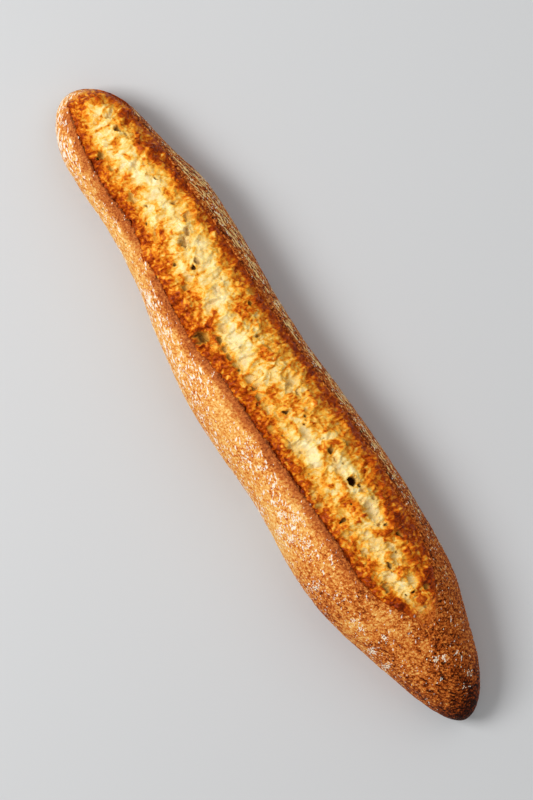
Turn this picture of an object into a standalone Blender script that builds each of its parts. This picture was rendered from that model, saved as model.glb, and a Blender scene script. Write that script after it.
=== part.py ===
"""A baguette: one closed loaf with a long burst slash along its top.

+X runs along the loaf to its pointed nose and +Z points up. The burst leans to the +Y side.
The origin lies under the middle of the loaf's box, in the plane of its flat underside.
"""

import math

import bmesh
import bpy
import numpy as np

MM = 0.001

# Driving dimensions, in millimetres.
LENGTH = 400.0
BLUNT_ROUND = 38.0  # length of the rounding at the blunt end
NOSE_ROUND = 30.0  # and at the nose
BLUNT_TIP = (-4.5, 13.0)  # y and z of the two tips
NOSE_TIP = (-1.5, 11.0)
CUT_TIP = 0.15  # how far each tip is cut short, to end in a small flat
WIDEST = 0.38  # height of the widest line, as a part of the section's height
BASE = 0.60  # width of the flat underside, as a part of the width
CROWN_POWER = 2.4  # 2 is an ellipse, more is squarer

# The sides before the ends are rounded, and the crown, as (x, y) or (x, z).
PLUS_SIDE = (
    (-200, 20.5), (-185, 22), (-170, 22.9), (-150, 25.9), (-120, 33.3), (-95, 34), (-25, 32.4), (20, 35.5),
    (60, 37.6), (100, 37.1), (130, 34.5), (160, 25.8), (175, 21.6), (185, 19.2), (200, 16.5),
)
MINUS_SIDE = (
    (-200, -26), (-160, -26.7), (-125, -25.6), (-100, -27), (-60, -34), (-20, -38.6), (5, -38.4),
    (32, -36.8), (60, -37.4), (85, -39), (110, -36.8), (140, -29.5), (170, -20.5), (200, -13.5),
)
CROWN = ((-200, 33), (-160, 39), (-100, 46), (-20, 50), (60, 52), (110, 50), (150, 43), (200, 27))

# The two edges of the burst, the lip's side first, as (x, y).
LIP_EDGE = (
    (-200, -5), (-190, -9.5), (-180, -11.5), (-165, -14), (-150, -15.2), (-112, -14.2), (-100, -16.5),
    (-90, -16.5), (-65, -18.6), (-48, -18.6), (-30, -16), (0, -14.3), (40, -12.6), (80, -10.5),
    (108, -9.6), (122, -5), (132, 1), (146, 5), (165, 3), (200, -3.5),
)
FAR_EDGE = (
    (-200, 1), (-190, 12.5), (-182, 17.3), (-170, 18.7), (-155, 22), (-130, 23.2), (-100, 25), (-40, 26.3),
    (0, 28.6), (50, 31.5), (75, 31.3), (100, 29.8), (120, 25.5), (132, 20), (146, 12), (165, 9), (200, 1),
)
BURST_STARTS = (-199, -188)  # the burst deepens from nothing over this stretch
BURST_ENDS = (116, 147)
EDGE_LIMIT = 0.93  # the burst stays within this part of the half width
LIP_GAP = (-100, 7)  # middle and reach of the bridge between the two cuts

# The lip's roll and the crevice beside it: steps across from the edge, then out and up.
LIP_STEPS = (
    (-7, 0, 0.1), (-5, 0, 0.9), (-3, 0.1, 1.7), (-1.4, 0.4, 1.9), (-0.4, 1.0, 1.2), (0.1, 1.2, 0.1),
    (0.1, 0.8, -1.8),
)
CREVICE_DEPTH = 4.4
FAR_STEPS = ((-1.3, 0, -2.6), (0.0, 0, -0.2), (1.8, 0, 0.4))
MOUND = ((0, -1.0), (0.12, -0.72), (0.3, -0.1), (0.5, 0.22), (0.75, 0.1), (0.9, -0.2), (1, -0.5))

# Crags that run across the burst: spacing along the loaf, slant, height.
CRAGS = ((23.0, 0.35, 0.55), (13.7, -0.6, 0.6), (8.9, 0.8, 0.4))
# Pockets in the burst: x, y, radius, depth.
POCKETS = (
    (-168, 8, 2.6, 2.2), (-161, -7.5, 3.2, 2.2), (-132, -5, 3, 1.6), (-107.5, 15.5, 3.6, 1.8),
    (-97, 5, 3.4, 2.4), (-84.5, 4.5, 3, 2.4), (-76, -7, 3, 1.8), (-49.5, -12.5, 5, 3.6), (-34, -6, 3.4, 2.2),
    (-5.5, 17, 4, 1.6), (8, 4, 2.6, 2), (37, 13, 2.8, 2), (57, 14.2, 4.2, 4), (72, -1, 2.8, 2.2),
    (105, 7, 3, 2), (114.5, -1, 3.2, 2.2),
)

STATIONS = 98
UNDER_POINTS = 5
FLANK_POINTS = 4
LIT_SKIN_POINTS = 6
BURST_POINTS = 16
FAR_SKIN_POINTS = 3


def line_through(points):
    """A smooth curve through the points, as a function of x."""
    xs, values = np.array(points, float).T
    slopes = np.gradient(values, xs)

    def at(x):
        i = int(np.clip(np.searchsorted(xs, x) - 1, 0, len(xs) - 2))
        step = xs[i + 1] - xs[i]
        t = min(max((x - xs[i]) / step, 0.0), 1.0)
        ahead = t * t * (3 - 2 * t)
        bend = slopes[i] * t * (1 - t) ** 2 - slopes[i + 1] * t * t * (1 - t)
        return values[i] * (1 - ahead) + values[i + 1] * ahead + bend * step

    return at


plus_side = line_through(PLUS_SIDE)
minus_side = line_through(MINUS_SIDE)
crown_line = line_through(CROWN)
lip_edge = line_through(LIP_EDGE)
far_edge = line_through(FAR_EDGE)
mound_line = line_through(MOUND)


def ramp(x, start, end):
    t = min(max((x - start) / (end - start), 0.0), 1.0)
    return t * t * (3 - 2 * t)


def swell(x):
    """0 at each tip, rising to 1 along a quarter ellipse."""
    inside = min((x + LENGTH / 2) / BLUNT_ROUND, (LENGTH / 2 - x) / NOSE_ROUND, 1.0)
    return math.sqrt(1 - (1 - inside) ** 2)


def opening(x):
    return ramp(x, *BURST_STARTS) * (1 - ramp(x, *BURST_ENDS))


class Section:
    """The loaf's cross-section at x, without the burst."""

    def __init__(self, x):
        part, full = x / LENGTH + 0.5, swell(x)
        tip_y, tip_z = (a + (b - a) * part for a, b in zip(BLUNT_TIP, NOSE_TIP))
        self.plus = tip_y + (plus_side(x) - tip_y) * full
        self.minus = tip_y + (minus_side(x) - tip_y) * full
        self.crown = tip_z + (crown_line(x) - tip_z) * full
        self.under = tip_z * (1 - full)
        self.middle = (self.plus + self.minus) / 2
        self.half = (self.plus - self.minus) / 2
        self.widest = self.under + WIDEST * (self.crown - self.under)

    def top(self, y):
        across = min(abs(y - self.middle) / self.half, 1.0)
        return self.widest + (self.crown - self.widest) * math.sqrt(1 - across**CROWN_POWER)

    def within(self, y):
        reach = EDGE_LIMIT * self.half
        return min(max(y, self.middle - reach), self.middle + reach)


def relief(x, y, lip, far):
    """Height of the burst over the smooth loaf, from the crevice across to its far edge."""
    across = (y - lip) / (far - lip)
    height = CREVICE_DEPTH * mound_line(across)
    fade = math.sin(math.pi * min(max(across, 0), 1))
    for spacing, slant, size in CRAGS:
        height += size * fade * math.sin(2 * math.pi * (x + slant * y) / spacing + slant * 9)
    for pocket_x, pocket_y, radius, depth in POCKETS:
        near = ((x - pocket_x) ** 2 + (y - pocket_y) ** 2) / radius**2
        height -= depth * math.exp(-1.5 * near)
    return height


def skin(section, start, end, count):
    """Points on the smooth top from start up to end, closer together where it is steep."""
    angles = [math.asin(min(max((y - section.middle) / section.half, -1), 1)) for y in (start, end)]
    for step in range(count):
        angle = angles[0] + (angles[1] - angles[0]) * step / count
        y = section.middle + section.half * math.sin(angle)
        yield y, section.top(y)


def flank(section, side, count):
    """Points of the rounding from the underside up to the widest line."""
    foot = section.middle + BASE * (side - section.middle)
    for step in range(count):
        angle = math.pi / 2 * step / count
        z = section.under + (section.widest - section.under) * (1 - math.cos(angle))
        yield foot + (side - foot) * math.sin(angle), z


def ring(x):
    """The loaf's outline at x, from the middle of the -Y flank over the top to the underside."""
    section = Section(x)
    size = opening(x)
    lip, far = section.within(lip_edge(x)), section.within(far_edge(x))
    squeeze = min(1.0, (far - lip) / (lip_edge(0) * -2))
    roll = size * ramp(abs(x - LIP_GAP[0]), 0, LIP_GAP[1])
    points = list(flank(section, section.minus, FLANK_POINTS))
    lip_start = lip + LIP_STEPS[0][0] * squeeze
    points += skin(section, section.minus, section.within(lip_start), LIT_SKIN_POINTS)
    for step, out, up in LIP_STEPS:
        y = section.within(lip + step * squeeze)
        points.append((y + out * roll, section.top(y) + up * (roll if up > 0 else size)))
    for step in range(1, BURST_POINTS):
        y = lip + (far - lip) * step / BURST_POINTS
        points.append((y, section.top(y) + size * relief(x, y, lip, far)))
    for step, out, up in FAR_STEPS:
        y = section.within(far + step * squeeze)
        points.append((y + out * size, section.top(y) + up * size))
    top_end = section.within(far + FAR_STEPS[-1][0] * squeeze)
    strip = list(skin(section, top_end, section.plus, FAR_SKIN_POINTS))[1:]
    points += strip + [(section.plus, section.widest)]
    points += reversed(list(flank(section, section.plus, FLANK_POINTS)))
    left, right = points[0][0], points[-1][0]
    for step in range(1, UNDER_POINTS):
        points.append((right + (left - right) * step / UNDER_POINTS, section.under))
    return [(x, y, z) for y, z in points]


def stations():
    """Places along the loaf, closer together at the two tips."""
    reach = LENGTH / 2 - CUT_TIP
    evenly = np.linspace(-1, 1, STATIONS)
    eased = np.sin(evenly * math.pi / 2)
    return reach * (0.72 * evenly + 0.28 * eased)


def loaf():
    bm = bmesh.new()
    loops = []
    for x in stations():
        verts = [bm.verts.new(point) for point in ring(float(x))]
        loops.append([bm.edges.new((a, b)) for a, b in zip(verts, verts[1:] + verts[:1])])
    for here, ahead in zip(loops, loops[1:]):
        bmesh.ops.bridge_loops(bm, edges=here + ahead)
    for end in (loops[0], loops[-1]):
        bmesh.ops.contextual_create(bm, geom=end)
    bmesh.ops.triangulate(bm, faces=bm.faces, quad_method="SHORT_EDGE", ngon_method="EAR_CLIP")
    bmesh.ops.recalc_face_normals(bm, faces=bm.faces)
    corners = np.array([vert.co for vert in bm.verts])
    low, high = corners.min(axis=0), corners.max(axis=0)
    middle = (low + high) / 2
    for vert in bm.verts:
        vert.co = ((vert.co.x - middle[0]) * MM, (vert.co.y - middle[1]) * MM, (vert.co.z - low[2]) * MM)
    mesh = bpy.data.meshes.new("baguette")
    bm.to_mesh(mesh)
    bm.free()
    mesh.shade_smooth()
    return mesh


def crust_material():
    material = bpy.data.materials.new("golden crust")
    material.use_nodes = True
    shader = material.node_tree.nodes["Principled BSDF"]
    shader.inputs["Base Color"].default_value = (0.60, 0.29, 0.10, 1)
    shader.inputs["Roughness"].default_value = 0.6
    return material


def main():
    for obj in list(bpy.data.objects):
        bpy.data.objects.remove(obj)
    baguette = bpy.data.objects.new("baguette", loaf())
    baguette.data.materials.append(crust_material())
    bpy.context.collection.objects.link(baguette)


main()
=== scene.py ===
"""The looks of a baguette: a floured crust, and torn, toasted crumb along its burst.

Lengths in the tables are millimetres on the loaf's own axes: +X to the nose, +Y to the side the
burst leans to, +Z up. place() moves the finished points into the frame, in metres.
"""

import math

import bmesh
import bpy
import numpy as np
from mathutils import Matrix, Vector

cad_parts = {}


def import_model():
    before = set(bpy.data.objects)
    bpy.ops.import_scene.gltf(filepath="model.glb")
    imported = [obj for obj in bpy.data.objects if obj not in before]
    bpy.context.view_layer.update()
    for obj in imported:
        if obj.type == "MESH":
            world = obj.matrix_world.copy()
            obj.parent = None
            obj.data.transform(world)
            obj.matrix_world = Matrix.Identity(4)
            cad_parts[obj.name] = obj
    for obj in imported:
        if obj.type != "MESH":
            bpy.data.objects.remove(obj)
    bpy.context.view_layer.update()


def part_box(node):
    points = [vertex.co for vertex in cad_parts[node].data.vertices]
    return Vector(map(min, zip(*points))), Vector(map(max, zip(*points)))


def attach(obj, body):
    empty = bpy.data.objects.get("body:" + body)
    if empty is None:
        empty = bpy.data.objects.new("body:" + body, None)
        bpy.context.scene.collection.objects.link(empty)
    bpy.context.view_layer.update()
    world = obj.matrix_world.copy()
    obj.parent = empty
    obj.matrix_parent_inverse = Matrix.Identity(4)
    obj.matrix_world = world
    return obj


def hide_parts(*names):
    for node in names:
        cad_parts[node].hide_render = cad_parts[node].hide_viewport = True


MM = 0.001

# ---- the loaf's form, the same as the frame's ----
LENGTH = 400.0
BLUNT_ROUND = 38.0  # length of the rounding at the blunt end
NOSE_ROUND = 30.0  # and at the nose
BLUNT_TIP = (-4.5, 13.0)  # y and z of the two tips
NOSE_TIP = (-1.5, 11.0)
CUT_TIP = 0.15  # how far each tip is cut short, to end in a small flat
WIDEST = 0.38  # height of the widest line, as a part of the section's height
BASE = 0.60  # width of the flat underside, as a part of the width
CROWN_POWER = 2.4  # 2 is an ellipse, more is squarer

# The sides before the ends are rounded, and the crown, as (x, y) or (x, z).
PLUS_SIDE = (
    (-200, 20.5), (-185, 22), (-170, 22.9), (-150, 25.9), (-120, 33.3), (-95, 34), (-25, 32.4),
    (20, 35.5), (60, 37.6), (100, 37.1), (130, 34.5), (160, 25.8), (175, 21.6), (185, 19.2),
    (200, 16.5),
)
MINUS_SIDE = (
    (-200, -26), (-160, -26.7), (-125, -25.6), (-100, -27), (-60, -34), (-20, -38.6), (5, -38.4),
    (32, -36.8), (60, -37.4), (85, -39), (110, -36.8), (140, -29.5), (170, -20.5), (200, -13.5),
)
CROWN = ((-200, 33), (-160, 39), (-100, 46), (-20, 50), (60, 52), (110, 50), (150, 43), (200, 27))

# The two edges of the burst, the lip's side first, as (x, y).
LIP_EDGE = (
    (-200, -5), (-190, -9.5), (-180, -11.5), (-165, -14), (-150, -15.2), (-112, -14.2),
    (-100, -16.5), (-90, -16.5), (-65, -18.6), (-48, -18.6), (-30, -16), (0, -14.3), (40, -12.6),
    (80, -10.5), (108, -9.6), (122, -5), (132, 1), (146, 5), (165, 3), (200, -3.5),
)
FAR_EDGE = (
    (-200, 1), (-190, 12.5), (-182, 17.3), (-170, 18.7), (-155, 22), (-130, 23.2), (-100, 25),
    (-40, 26.3), (0, 28.6), (50, 31.5), (75, 31.3), (100, 29.8), (120, 25.5), (132, 20), (146, 12),
    (165, 9), (200, 1),
)
BURST_STARTS = (-199, -188)  # the burst deepens from nothing over this stretch
BURST_ENDS = (116, 147)
EDGE_LIMIT = 0.93  # the burst stays within this part of the half width
LIP_RISES, LIP_SINKS = (-198, -184), (106, 126)  # the lip's step grows and fades over these
FAR_RISES, FAR_SINKS = (-196, -183), (116, 138)

# The lip's roll, from the skin over its crest and down its front: steps across, out, up.
LIP_STEPS = (
    (-7, 0, 0.0), (-5, 0, 0.45), (-3, 0.1, 0.95), (-1.6, 0.25, 1.1), (-0.6, 0.5, 0.75),
    (-0.1, 0.7, 0.1), (0.0, 0.6, -0.8), (-0.3, 0.3, -2.2), (-1.0, 0, -4.0),
)
# The far edge's, from the trough up to the skin.
FAR_STEPS = (
    (1.2, -0.2, -5.0), (-0.2, -0.4, -2.6), (-0.4, -0.2, -0.9), (0.2, 0, 0.1), (1.2, 0, 0.35),
    (3.2, 0, 0),
)
TROUGH = 9.0  # depth of the crust under the burst

# Height of the burst over the smooth loaf, across from the lip to the far edge.
MOUND = (
    (0, -0.5), (0.06, 0.0), (0.13, 0.0), (0.2, -0.9), (0.28, -1.5), (0.38, -0.7), (0.52, 0.5),
    (0.7, 1.0), (0.85, 0.7), (0.93, 0.3), (1, -0.8),
)
# How toasted it is, from 0 for cream to 1 for nearly black.
TOAST = (
    (0, 0.66), (0.05, 0.61), (0.14, 0.45), (0.24, 0.24), (0.34, 0.08), (0.5, 0.05), (0.7, 0.15),
    (0.84, 0.34), (0.94, 0.56), (1, 0.66),
)

# How sharply the lip stands over the crevice beside it, along x.
LIP_SHARP = (
    (-200, 0.2), (-176, 0.6), (-150, 0.9), (-120, 0.8), (-105, 0.1), (-92, 0.1), (-80, 0.5),
    (-60, 0.3), (-40, 0.1), (-20, 0.3), (0, 0.6), (20, 0.7), (50, 0.9), (60, 0.5), (76, 1),
    (88, 0.8), (100, 0.5), (112, 0.6), (126, 0.2),
)

# Toasted crests: width, height, toast, then points along them.
CRESTS = (
    (1.2, 1.2, 0.85, (-193, 12), (-186, 14.5), (-178, 15.5)),
    (0.6, 0.6, 0.60, (-181, 12), (-179, 4)),
    (0.7, 0.7, 0.60, (-172, 5), (-172.5, -4)),
    (1.2, 1.2, 0.75, (-160, 16), (-156, 12.5), (-150, 11.5)),
    (1.3, 1.4, 0.85, (-151, 17), (-146, 15.5), (-141, 17)),
    (0.7, 0.6, 0.50, (-160, 4), (-161, -3)),
    (0.8, 0.7, 0.65, (-143.5, 1), (-142.5, -4)),
    (1.2, 1.3, 0.80, (-112, 2.5), (-109, 0), (-107, -1.5), (-103, -4)),
    (0.8, 0.9, 0.70, (-105, 4), (-102.5, -1), (-99.5, -4.5)),
    (0.8, 0.8, 0.45, (-98, 2), (-91, 1), (-84, 0.5)),
    (0.9, 0.9, 0.80, (-64, -4.5), (-61, -7), (-58.5, -9.5)),
    (1.2, 1.3, 0.80, (-57, 0), (-53.5, -2.5), (-50, -6.5), (-44, -8.5)),
    (1.1, 1.1, 0.80, (-54, -5), (-54.5, -10), (-53, -15)),
    (1.0, 1.0, 0.65, (-52, 20), (-47, 17), (-46.5, 9), (-42, 5)),
    (1.0, 1.1, 0.50, (-29, 17), (-26, 10), (-24, 3), (-20.5, -3)),
    (0.8, 1.0, 0.50, (-20.5, 20), (-20.3, 8), (-20.3, -6)),
    (0.9, 0.8, 0.65, (-12, 19), (-10.5, 12)),
    (0.8, 0.7, 0.60, (-5, 7), (-7, 2.5), (-1, 1.5)),
    (0.7, 0.7, 0.45, (8, 20), (9, 12)),
    (1.0, 0.9, 0.70, (12, 19.5), (16, 15.5), (20, 16)),
    (1.0, 0.9, 0.55, (9, 2), (16, 3), (23, 4)),
    (1.3, 1.2, 0.60, (33, 12), (38, 8), (43, 5), (49, 2)),
    (1.3, 1.1, 0.55, (50, 9.5), (60, 8.5), (70, 9), (78, 10.5)),
    (0.8, 0.9, 0.85, (75.5, 12), (75, 8), (76, 4)),
    (1.2, 1.2, 0.70, (87, 22), (89, 16), (86.5, 10)),
    (1.4, 1.4, 0.75, (62, 24), (66, 22.5), (72, 23.5), (80, 21.5)),
    (1.6, 1.6, 0.85, (82, 20.5), (90, 23), (96, 20.5)),
    (1.3, 1.2, 0.75, (103, 19), (112, 18), (121, 16), (128, 11.5)),
    (1.2, 1.3, 0.80, (118, 23), (124, 22), (132, 18.5), (141, 13)),
    (1.2, 1.2, 0.80, (123, -1), (127, 2), (133, 3)),
)
# Toasted patches: x, y, reach along, reach across, toast.
PATCHES = (
    (-192, 4, 4, 12, 0.55), (-190, -5, 5, 6, 0.6), (-187, 7, 3, 2.5, 0.5), (-178, -7, 4, 2.5, 0.55),
    (-171, 14, 5, 3.5, 0.55), (-158, -12, 6, 2.5, 0.7), (-162, 2, 3, 2, 0.4),
    (-155, 14, 5, 3, 0.65), (-152, 4, 1.6, 1.4, 0.55), (-146, 16, 5, 2.5, 0.75),
    (-136, -1, 5, 2, 0.45), (-128, -9, 6, 2.4, 0.5), (-118, -11, 10, 1.8, 0.7),
    (-136, -7, 3, 2, 0.5), (-124, 12, 2.5, 2.5, 0.5), (-122, 21, 20, 2, 0.6), (-97, -8, 5, 5, 0.44),
    (-88, -12, 7, 3.4, 0.55), (-82, -6, 3, 2.4, 0.42), (-70, -6, 5, 4, 0.46),
    (-66, -14, 11, 4, 0.62), (-95, 19, 3, 2, 0.36), (-88, 16, 2, 2, 0.34), (-78, 17, 3, 2, 0.4),
    (-63, 19, 3, 3, 0.5), (-51, 14, 6, 6, 0.5), (-54, -4, 3, 3, 0.7), (-35, -13, 7, 3, 0.62),
    (-20, -12, 12, 3.5, 0.62), (-35, 9, 1.2, 1, 0.7), (-25, 12, 3, 7, 0.44), (-5, -11, 7, 3, 0.62),
    (-5, 3, 3, 2.4, 0.5), (5, 24, 5, 2, 0.5), (9, -8, 5, 4, 0.56), (25, -9.5, 14, 2.2, 0.70),
    (26, 18, 3, 5, 0.35), (33, 9, 1.6, 1.4, 0.55), (35, 16, 2, 2, 0.45), (53, 3, 1.2, 1.4, 0.7),
    (57, 26, 7, 4, 0.58), (45, 27, 5, 3, 0.52), (66, 6, 9, 3, 0.5), (73, 27, 12, 4, 0.60),
    (90, 25, 12, 4.5, 0.72), (103, 24, 8, 4.5, 0.66), (90, 15, 3.4, 6, 0.6),
    (85, -6.5, 15, 3.6, 0.52), (101, -2, 4, 6, 0.42), (112.5, 8.5, 1.6, 1.6, 0.5),
    (110, -8, 10, 2, 0.7), (128, -2, 7, 4, 0.92), (124, 20, 7, 4, 0.75), (130, 12, 6, 2, 0.7),
    (137, 7, 6, 5, 0.48), (146, 7, 6, 8, 0.62), (5, 9, 7, 4, 0.42), (2, 2, 6, 2, 0.4),
    (20, 12, 5, 3, 0.34), (48, 21, 8, 3, 0.4), (110, 12, 5, 4, 0.4),
)
# The palest parts: x, y, reach along, reach across.
PALE = (
    (-140, 3, 6, 3), (-120, 8, 7, 3), (-92, 13, 9, 5), (-77, 10, 5, 3.4), (-62, 5, 6, 5),
    (-43, 1, 8, 4), (-29, 0, 8, 4), (30, 3, 12, 5), (52, 17, 8, 2), (76, 16, 8, 2.6),
)
# Cells that open at the surface: x, y, reach along, reach across, depth, how much shade is painted
# inside.
CELLS = (
    (-168, 8, 1.9, 2.0, 1.8, 0.75), (-163, 9.5, 1.3, 1.6, 1.0, 0.5),
    (-161, -7.5, 2.6, 2.4, 1.8, 0.6), (-160.5, -10, 1.0, 0.8, 1.4, 0.9),
    (-151, -6.5, 2.2, 1.6, 1.3, 0.5), (-144, 10, 1.8, 1.0, 0.6, 0.3),
    (-134, 10.8, 1.5, 0.6, 1.3, 0.8), (-132, -5, 2.8, 2.4, 1.3, 0.45),
    (-124, -1.5, 1.6, 0.8, 1.0, 0.6), (-116.5, -6, 1.0, 1.2, 1.3, 0.8),
    (-117.5, 12.5, 1.3, 2.2, 1.2, 0.55), (-107.5, 15.3, 2.9, 3.7, 2.0, 0.4),
    (-101, 10, 2.2, 1.7, 1.4, 0.5), (-97, 5, 3.0, 2.8, 2.2, 0.6), (-85, 6.5, 2.2, 2.0, 2.0, 0.7),
    (-83.3, 2.7, 1.7, 1.6, 2.2, 0.9), (-90, -5, 1.0, 1.4, 1.3, 0.8),
    (-76.5, -6.5, 2.4, 2.4, 1.8, 0.55), (-49.5, -12.6, 4.3, 4.0, 3.2, 0.75),
    (-51, 19, 1.4, 1.7, 2.0, 0.85), (-57, 22, 2.6, 2.2, 1.2, 0.3), (-34.5, 13, 0.9, 2.0, 1.4, 0.65),
    (-50.5, 8, 1.6, 2.2, 0.9, 0.35), (-62, 2, 2.6, 2.0, 0.9, 0.3), (-66, 6, 2.2, 2.6, 0.7, 0.22),
    (-48, -1.5, 4.0, 2.0, 1.0, 0.4), (-43, -6.5, 2.4, 1.7, 1.6, 0.7),
    (-37.5, -6, 2.0, 1.9, 1.5, 0.6), (-33, -6.3, 2.2, 1.9, 1.6, 0.65),
    (-24, -6, 1.0, 1.1, 1.3, 0.8), (-28, -6, 2.4, 2.0, 1.0, 0.4), (-18, -3.5, 2.6, 2.8, 1.3, 0.4),
    (-12, -4, 1.7, 1.3, 1.4, 0.7), (-6.5, -4.5, 2.4, 2.2, 1.5, 0.55),
    (-4, -7.2, 1.0, 0.9, 1.3, 0.85), (-5.5, 16.5, 3.2, 4.2, 1.5, 0.25),
    (2.3, 15, 1.7, 1.7, 1.1, 0.5), (7.7, 3.6, 1.2, 1.4, 1.8, 0.85), (8, 5.5, 1.8, 1.6, 1.0, 0.4),
    (14.3, 10.6, 1.0, 0.8, 1.1, 0.8), (16.6, 10, 0.7, 0.6, 0.9, 0.7), (18, 8, 0.7, 0.7, 1.1, 0.85),
    (12, 13.5, 1.8, 1.6, 0.7, 0.3), (17.2, -4.5, 0.6, 0.6, 0.9, 0.7),
    (29.5, -1, 1.1, 1.0, 0.9, 0.5), (23, -4.5, 3.0, 2.2, 1.0, 0.3), (42, -3, 0.7, 0.6, 0.8, 0.6),
    (43.6, -3.4, 0.5, 0.4, 0.7, 0.6), (36.6, 13.2, 2.1, 2.1, 1.9, 0.75),
    (42.4, 13, 1.8, 1.4, 1.2, 0.5), (38, 21.8, 2.1, 1.4, 1.4, 0.65),
    (46.5, 15.5, 0.6, 0.5, 0.7, 0.7), (57, 14.2, 2.9, 2.2, 6.0, 1.0),
    (60.7, 16.2, 1.3, 1.2, 1.6, 0.75), (64.5, 16.5, 1.4, 1.2, 0.9, 0.4),
    (67.2, 7, 0.8, 0.7, 1.3, 0.95), (71.8, -1.2, 1.4, 2.4, 2.0, 0.8), (74, 15, 3.6, 2.6, 0.8, 0.28),
    (83.4, 14, 1.3, 1.3, 0.8, 0.5), (86, 17.3, 0.9, 1.5, 1.3, 0.75), (84.5, 6, 1.8, 2.0, 0.9, 0.25),
    (93, 0.5, 2.6, 1.6, 0.9, 0.3), (105.2, 7.2, 1.9, 1.8, 1.9, 0.8), (109, 5.7, 0.6, 0.6, 0.9, 0.8),
    (114.5, -0.8, 3.0, 2.2, 1.9, 0.55), (123.8, 10.6, 0.8, 0.9, 1.4, 0.9),
    (123.3, 6.4, 0.8, 0.6, 0.9, 0.7), (126, 5.5, 3.0, 1.8, 1.0, 0.35),
    (125, 17.9, 1.8, 1.6, 1.4, 0.7), (101.5, 14.2, 1.3, 1.2, 1.1, 0.5),
    (93.5, 20.8, 1.8, 1.0, 1.5, 0.85), (70, 18.5, 1.4, 1.2, 0.9, 0.5), (101, 8, 0.6, 0.5, 0.8, 0.6),
    (134, 12, 1.4, 1.0, 1.1, 0.6), (12, -7, 3.4, 2.4, 1.0, 0.3), (52, -7, 3.0, 2.0, 0.9, 0.3),
    (30, 13.5, 0.7, 0.6, 0.8, 0.6), (-27.5, 13, 1.8, 1.0, 0.7, 0.3),
)
# Wide soft hollows with painted shade in them: x, y, reach along, reach across, depth, how much
# shade is painted inside.
HOLLOWS = (
    (-176.5, 9, 2.2, 3.0, 1.0, 0.30), (-146, 6, 4, 3, 1.0, 0.12), (-138, 2, 3, 4, 1.0, 0.12),
    (-81, -2.5, 4.2, 2.6, 1.2, 0.32), (-98, 8, 5, 3.4, 1.2, 0.25), (-61, -1.5, 3.2, 2.4, 1.2, 0.32),
    (-66, 7.5, 3, 2.6, 0.9, 0.22), (-40, 3, 4.5, 6, 1.4, 0.08), (-27, 1, 2.4, 6, 1.0, 0.15),
    (-13, -1, 4, 3, 1.2, 0.2), (-2, 12.5, 3.6, 3.4, 1.2, 0.3), (0.5, -4, 4.2, 2.4, 1.1, 0.32),
    (22, 7, 6, 2.8, 1.0, 0.26), (26, -2, 5, 3.2, 1.2, 0.25), (37, 3, 6, 3.6, 0.6, 0.05),
    (47, 11.5, 7, 2.6, 1.2, 0.30), (63, 16, 3, 2, 1.1, 0.4), (75, 14.5, 7.5, 3.6, 1.3, 0.30),
    (51, -6, 3.6, 2.8, 1.3, 0.32), (58.5, -7, 3, 2.4, 1.4, 0.42), (91, 8, 4, 4.6, 1.2, 0.25),
    (92, -0.5, 3, 2, 1.0, 0.35), (97, 13, 3.4, 2.6, 1.1, 0.3), (104, 12, 4, 3, 1.2, 0.3),
    (80, -4, 4, 2.4, 1.0, 0.25), (112, 4, 4.5, 4.5, 1.0, 0.18), (118, 13, 4, 3, 1.0, 0.25),
    (134, 9, 4, 3, 0.8, 0.2),
)
SMALL_CELLS = 260
SMALL_CELLS_ALONG = (-184, 136)
SMALL_CELLS_ACROSS = (0.14, 0.92)  # as a part of the way from the lip to the far edge

# How finely the crust is divided: rings along it, then columns round each ring.
STATIONS = 640
FLANK_COLUMNS, SKIN_COLUMNS, LIP_COLUMNS, TROUGH_COLUMNS = 12, 62, 20, 8
FAR_COLUMNS, FAR_SKIN_COLUMNS, UNDER_COLUMNS = 12, 20, 9

CRUMB_FROM, CRUMB_TO = -198.2, 152.0
CRUMB_STEP = 0.42
CRUMB_ACROSS = 96
UNDER_LIP, UNDER_FAR = 1.3, 1.2  # how far the crumb runs on under the two crust edges
FLOOR_PARTS = (1.0, 0.66, 0.33, 0.0)  # places across the crumb's hidden floor, from the far side
FLOOR_DEPTH = (7.5, 3.5)  # of that floor: what the open burst adds, and the least

# Single clots of flour: x, y, reach.
CLOTS = (
    (137, -15.5, 1.7), (126, -23.5, 1.6), (139.5, -25, 2.0), (120.5, -24.5, 1.4), (151, -23, 1.8),
    (161, 2, 1.5), (163, 5.5, 1.5), (165, 13, 2.2), (178, 14, 2.4), (149, 13, 1.2), (152, 21, 1.6),
    (128, 29, 1.6), (138, 26.5, 1.5), (100, 33, 2.0), (93, 32, 1.4), (58, -22, 2.4), (52, -27, 2.2),
    (66, -30, 2.2), (70, -24, 1.6), (60, -33, 1.6), (-62, -27.5, 1.5), (-22, -33, 1.8),
    (-28, -23, 1.4), (95, -33, 1.6),
)

PEBBLE = 1.7  # spacing of the crust's grain, and of its blisters
BLISTER = 3.6
FLOUR_DENSITY = 2.6e6  # grains to the square metre where the dusting is full
GRAIN_RADIUS = 0.33
GRAIN_SIZES = ((0.7, 0.45, 0.22), (2.1, 1.1, 0.5))  # smallest and largest, in radii along each axis
GRAINS_LIE = (0.72, -0.62, -0.3)  # the way their long sides point

SEED = 7  # of the crust's own noise, and of the strewn flour
BAKE_SEED, TORN_SEED, SMALL_CELL_SEED = SEED + 1, SEED + 2, SEED + 3
PEBBLE_SEED, BLISTER_SEED, FLOUR_SEED = SEED + 5, SEED + 6, SEED + 8
LARGE_WALL_SEED, SMALL_WALL_SEED = SEED + 11, SEED + 12
BEAD_SEED, FLAKE_SEED, PORE_SEED = SEED + 13, SEED + 14, SEED + 15


# ---- curves and noise ----

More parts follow.
